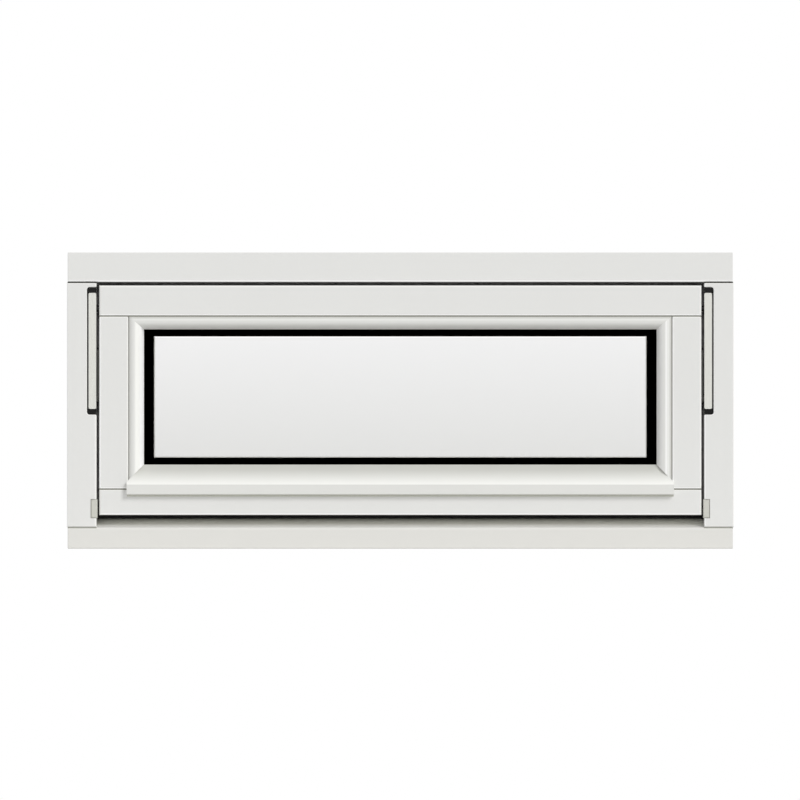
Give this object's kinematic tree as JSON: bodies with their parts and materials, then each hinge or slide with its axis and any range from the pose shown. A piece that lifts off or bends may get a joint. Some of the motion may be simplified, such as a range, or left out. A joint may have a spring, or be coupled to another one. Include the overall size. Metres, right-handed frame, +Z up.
{
  "type": "top-swing window",
  "caption": "White-painted timber top-swing window: rebated frame, outward-swinging sash on side slide rails, double glazing behind crowned beads and a weathered bottom bead.",
  "frame": {"origin": "middle of the flat underside of the frame's sill", "axes": "+X along the width, to the right as seen from outdoors; +Y into the room; +Z up"},
  "size_m": [0.9, 0.113, 0.4],
  "materials": {
    "painted_pine": "factory paint, satin",
    "float_glass": "clear float glass",
    "glazing_rubber": "black extruded rubber",
    "zinc_casting": "cast zinc, matt",
    "zinc_plated_steel": "black zinc plated",
    "anodised_aluminium": "satin anodised",
    "acetal": "moulded"
  },
  "bodies": {
    "root": {"frame_head": "painted_pine", "frame_sill": "painted_pine", "frame_jamb_left": "painted_pine", "frame_jamb_right": "painted_pine", "sash_top_rail": "painted_pine", "sash_bottom_rail": "painted_pine", "sash_stile_left": "painted_pine", "sash_stile_right": "painted_pine", "bead_top": "painted_pine", "bead_bottom": "painted_pine", "bead_left": "painted_pine", "bead_right": "painted_pine", "glass_outer": "float_glass", "glass_inner": "float_glass", "spacer_bar": "glazing_rubber", "edge_sealant": "glazing_rubber", "glazing_tape_outer": "glazing_rubber", "glazing_tape_inner": "glazing_rubber", "weather_seal": "glazing_rubber", "sill_seal": "glazing_rubber", "rail_clip_upper_left": "acetal", "rail_clip_upper_right": "acetal", "rail_clip_lower_left": "acetal", "rail_clip_lower_right": "acetal", "slide_rail_left": "anodised_aluminium", "slide_rail_right": "anodised_aluminium", "slide_shoe_left": "acetal", "slide_shoe_right": "acetal", "swing_arm_left": "zinc_plated_steel", "swing_arm_right": "zinc_plated_steel", "sash_plate_left": "zinc_plated_steel", "sash_plate_right": "zinc_plated_steel", "lock_keep_left": "zinc_casting", "lock_keep_right": "zinc_casting", "lock_faceplate_left": "zinc_plated_steel", "lock_faceplate_right": "zinc_plated_steel", "locking_roller_left": "zinc_plated_steel", "locking_roller_right": "zinc_plated_steel", "handle_rosette": "anodised_aluminium", "handle_lever": "anodised_aluminium"}
  },
  "joints": []
}
